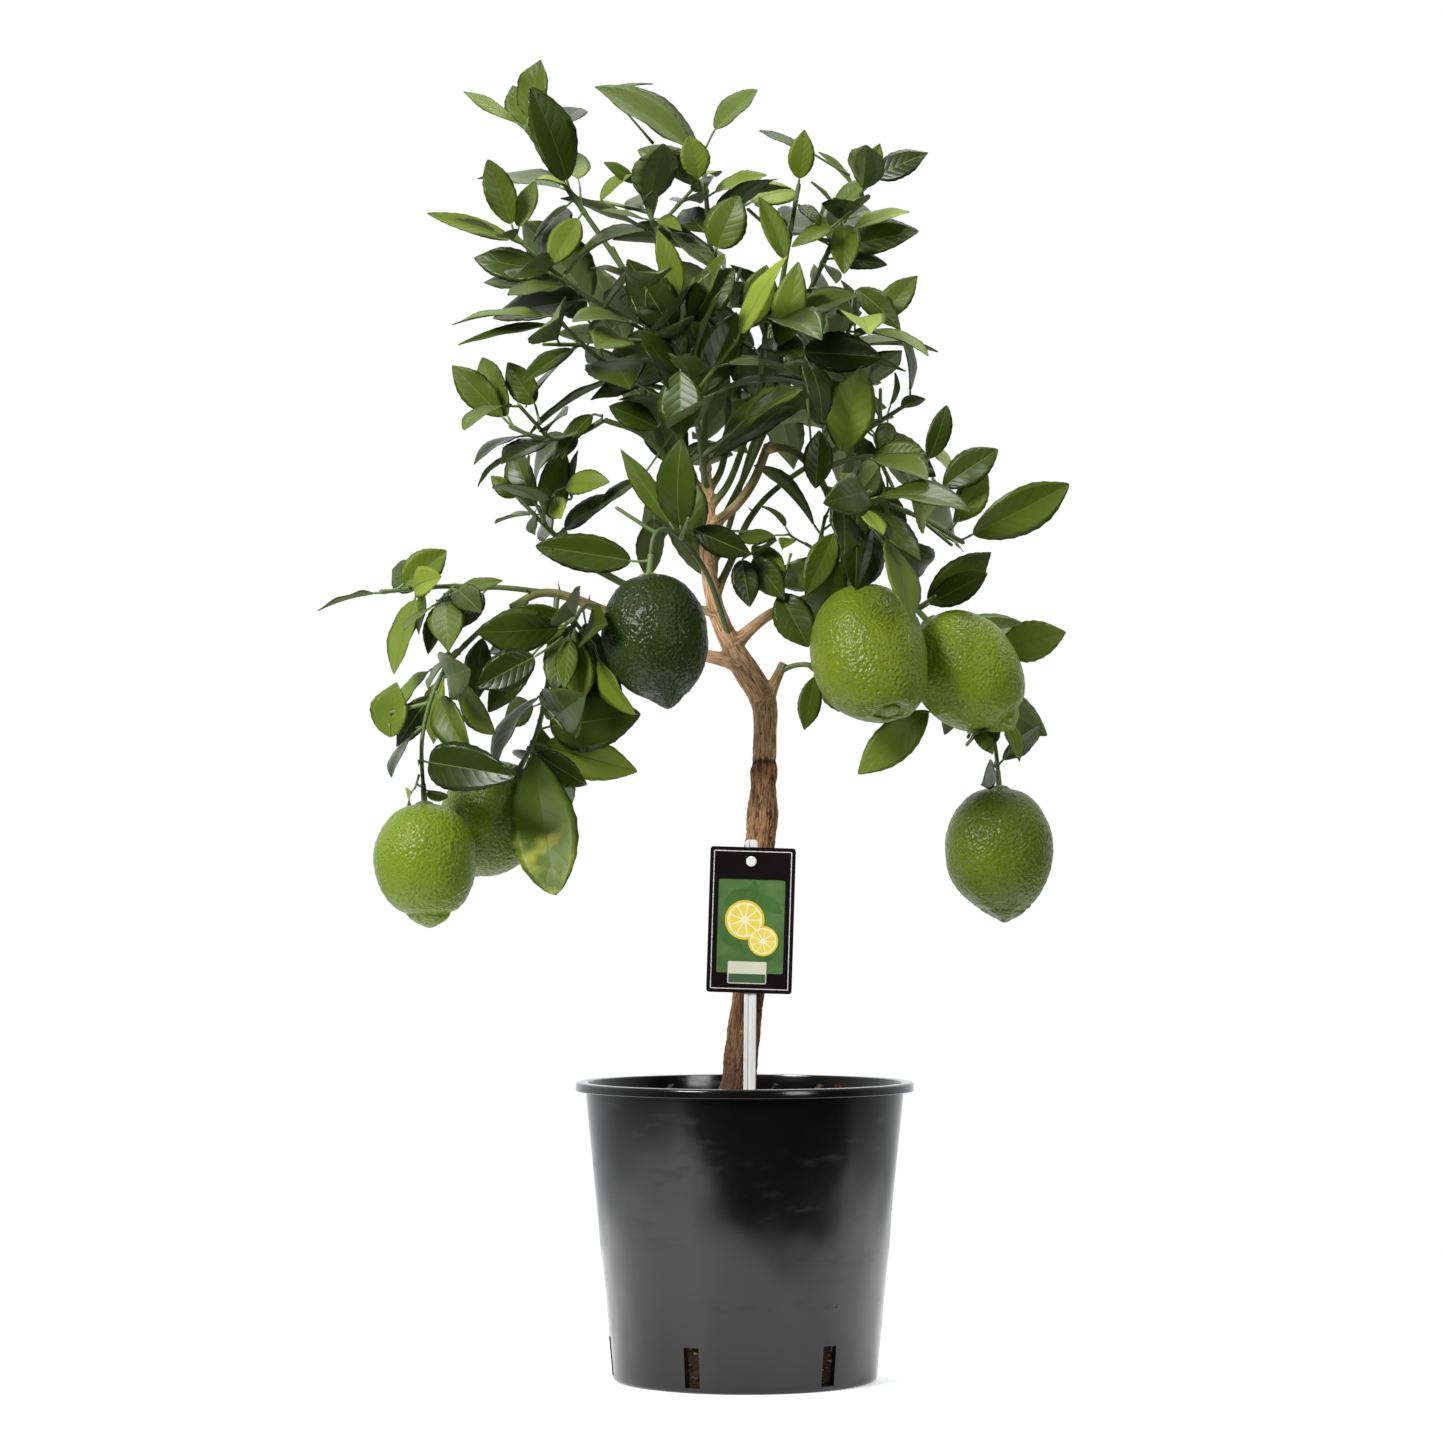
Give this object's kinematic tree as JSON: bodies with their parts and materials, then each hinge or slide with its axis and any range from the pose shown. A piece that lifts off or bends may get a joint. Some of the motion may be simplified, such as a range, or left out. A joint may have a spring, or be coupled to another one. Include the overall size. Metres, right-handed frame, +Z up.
{
  "type": "potted lemon tree",
  "caption": "Young lemon tree on a bare leaning trunk, with a leafy crown and green fruit, in a round black nursery pot with a plant label.",
  "frame": {"origin": "middle of the pot's flat underside, at the level it stands on", "axes": "+Z up along the trunk, -Y towards the front that the picture shows, +X to the picture's right"},
  "size_m": [0.4773, 0.3427, 0.8513],
  "materials": {
    "pot_plastic": "glossy black moulded plastic, lightly scuffed",
    "compost": "dark brown compost with bark pieces",
    "stem_plastic": "white plastic strip",
    "card": "printed black card, satin",
    "bark": "grey-brown bark, fissured low down and smoother above",
    "foliage": "glossy dark green leaves, green twigs and pebbled green fruit"
  },
  "bodies": {
    "root": {"pot": "pot_plastic", "soil": "compost", "label_stem": "stem_plastic", "label_card": "card", "trunk": "bark", "cut_stub": "bark", "left_bough": "bark", "right_bough": "bark", "left_low_limb": "bark", "upper_right_limb": "bark", "back_right_limb": "bark", "crown_outer_limb": "bark", "back_left_limb": "bark", "arch_rise": "bark", "arch_fall": "bark", "left_mid_limb": "bark", "crown_far_limb": "bark", "crown_left_limb": "bark", "crown_right_limb": "bark", "crown_centre_limb": "bark", "top_left_leaves": "foliage", "left_high_leaves": "foliage", "left_shoulder_leaves": "foliage", "left_mid_leaves": "foliage", "left_low_leaves": "foliage", "left_tip_leaves": "foliage", "left_hanging_leaves": "foliage", "left_inner_leaves": "foliage", "left_cover_leaves": "foliage", "dark_fruit_leaves": "foliage", "core_front_leaves": "foliage", "core_left_leaves": "foliage", "core_right_leaves": "foliage", "top_centre_leaves": "foliage", "top_mid_leaves": "foliage", "top_inner_leaves": "foliage", "top_right_leaves": "foliage", "right_high_leaves": "foliage", "right_shoulder_leaves": "foliage", "right_out_leaves": "foliage", "right_out_low_leaves": "foliage", "right_cover_leaves": "foliage", "front_fruit_leaves": "foliage", "side_fruit_leaves": "foliage", "low_fruit_leaves": "foliage", "low_right_leaves": "foliage", "right_inner_leaves": "foliage", "back_right_leaves": "foliage", "back_left_leaves": "foliage", "back_top_leaves": "foliage", "back_outer_leaves": "foliage", "back_low_leaves": "foliage"}
  },
  "joints": []
}
